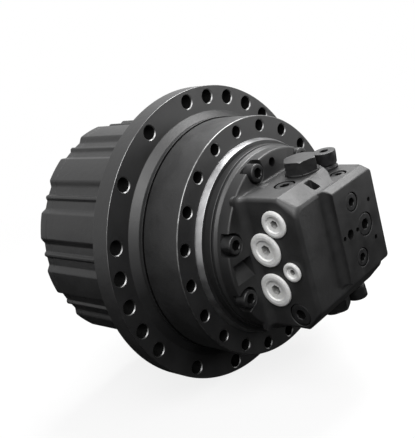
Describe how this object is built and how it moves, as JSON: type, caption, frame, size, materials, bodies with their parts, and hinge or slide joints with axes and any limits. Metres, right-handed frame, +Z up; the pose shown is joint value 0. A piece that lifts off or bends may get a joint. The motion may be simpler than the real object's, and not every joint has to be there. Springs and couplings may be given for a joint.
{
  "type": "excavator final drive",
  "caption": "Track drive with an axial piston motor, a planetary reducer and a rotating hub whose flange carries the sprocket.",
  "frame": {"origin": "centre of the frame pilot, on the drive's axis, in the plane of the face that bolts to the track frame", "axes": "+Y along the drive's axis from the motor to the end cover, +Z up, +X to the right when looking along +Y at the motor"},
  "size_m": [0.475, 0.4963, 0.475],
  "materials": {
    "black_paint": "satin black paint over ductile iron castings",
    "black_oxide": "black oxide on steel screws and plugs",
    "machined_steel": "ground or turned steel",
    "gear_steel": "case-hardened gear steel",
    "bronze": "bearing bronze",
    "white_plastic": "moulded white polyethylene",
    "seal_rubber": "black nitrile rubber"
  },
  "bodies": {
    "case": {"motor_case": "black_paint", "valve_cover": "black_paint", "cover_screw_1": "black_oxide", "cover_screw_2": "black_oxide", "cover_screw_3": "black_oxide", "cover_screw_4": "black_oxide", "cover_screw_5": "black_oxide", "cover_screw_6": "black_oxide", "cover_screw_7": "black_oxide", "cover_screw_8": "black_oxide", "port_plug_top": "white_plastic", "port_plug_upper": "white_plastic", "port_plug_lower": "white_plastic", "port_plug_drain": "white_plastic", "side_plug": "black_oxide", "end_plug_upper": "black_oxide", "end_plug_middle": "black_oxide", "end_plug_lower": "black_oxide", "top_plug_high": "black_oxide", "top_plug_low": "black_oxide", "hex_plug_top": "black_oxide", "hex_plug_bottom": "black_oxide", "relief_cap_top": "black_oxide", "relief_cap_bottom": "black_oxide", "carrier_2": "gear_steel", "bearing_nut": "machined_steel", "bearing_inner_front": "machined_steel", "bearing_inner_rear": "machined_steel", "seal_ring_fixed": "machined_steel", "seal_toric_fixed": "seal_rubber", "shaft_bearing": "machined_steel", "valve_plate": "bronze", "brake_plate": "machined_steel"},
    "hub": {"sprocket_hub": "black_paint", "ring_gear": "black_paint", "end_cover": "black_paint", "cover_plug_1": "black_oxide", "cover_plug_2": "black_oxide", "bearing_outer_front": "machined_steel", "bearing_outer_rear": "machined_steel", "seal_ring_moving": "machined_steel", "seal_toric_moving": "seal_rubber"},
    "first_stage": {"carrier_1": "gear_steel", "sun_2": "gear_steel"},
    "first_planet_1": {"planet_1_1": "gear_steel"},
    "first_planet_2": {"planet_1_2": "gear_steel"},
    "first_planet_3": {"planet_1_3": "gear_steel"},
    "second_planet_1": {"planet_2_1": "gear_steel"},
    "second_planet_2": {"planet_2_2": "gear_steel"},
    "second_planet_3": {"planet_2_3": "gear_steel"},
    "rotor": {"sun_1": "gear_steel", "motor_shaft": "machined_steel", "cylinder_block": "machined_steel", "brake_disc": "bronze"},
    "swash": {"swash_plate": "bronze"},
    "spool": {"counterbalance_spool": "machined_steel"},
    "brake": {"brake_piston": "machined_steel"}
  },
  "joints": [
    {"name": "hub_turn", "type": "hinge", "parent": "case", "child": "hub", "pos_m": [0, 0.15, 0], "axis": [0, -1, 0], "continuous": true},
    {"name": "first_stage_turn", "type": "hinge", "parent": "case", "child": "first_stage", "pos_m": [0, 0.27, 0], "axis": [0, -1, 0], "continuous": true},
    {"name": "rotor_turn", "type": "hinge", "parent": "case", "child": "rotor", "pos_m": [0, 0.098, 0], "axis": [0, -1, 0], "continuous": true},
    {"name": "first_planet_1_turn", "type": "hinge", "parent": "first_stage", "child": "first_planet_1", "pos_m": [0, 0.291, 0.09], "axis": [0, -1, 0], "continuous": true},
    {"name": "first_planet_2_turn", "type": "hinge", "parent": "first_stage", "child": "first_planet_2", "pos_m": [-0.07794, 0.291, -0.045], "axis": [0, -1, 0], "continuous": true},
    {"name": "first_planet_3_turn", "type": "hinge", "parent": "first_stage", "child": "first_planet_3", "pos_m": [0.07794, 0.291, -0.045], "axis": [0, -1, 0], "continuous": true},
    {"name": "second_planet_1_turn", "type": "hinge", "parent": "case", "child": "second_planet_1", "pos_m": [0, 0.24, 0.099], "axis": [0, -1, 0], "continuous": true},
    {"name": "second_planet_2_turn", "type": "hinge", "parent": "case", "child": "second_planet_2", "pos_m": [-0.08574, 0.24, -0.0495], "axis": [0, -1, 0], "continuous": true},
    {"name": "second_planet_3_turn", "type": "hinge", "parent": "case", "child": "second_planet_3", "pos_m": [0.08574, 0.24, -0.0495], "axis": [0, -1, 0], "continuous": true},
    {"name": "swash_tilt", "type": "hinge", "parent": "case", "child": "swash", "pos_m": [0, 0.064, 0], "axis": [-1, 0, 0], "range_deg": [0, 7]},
    {"name": "spool_slide", "type": "slide", "parent": "case", "child": "spool", "axis": [0, 0, 1], "range_m": [-0.008, 0.008]},
    {"name": "brake_release", "type": "slide", "parent": "case", "child": "brake", "axis": [0, -1, 0], "range_m": [0, 0.0025]}
  ],
  "couplings": [
    {"joint": "first_stage_turn", "follows": "hub_turn", "ratio": -3.125},
    {"joint": "rotor_turn", "follows": "hub_turn", "ratio": -23.75},
    {"joint": "first_planet_1_turn", "follows": "hub_turn", "ratio": 10.312},
    {"joint": "first_planet_2_turn", "follows": "hub_turn", "ratio": 10.312},
    {"joint": "first_planet_3_turn", "follows": "hub_turn", "ratio": 10.312},
    {"joint": "second_planet_1_turn", "follows": "hub_turn", "ratio": 2.9412},
    {"joint": "second_planet_2_turn", "follows": "hub_turn", "ratio": 2.9412},
    {"joint": "second_planet_3_turn", "follows": "hub_turn", "ratio": 2.9412}
  ]
}
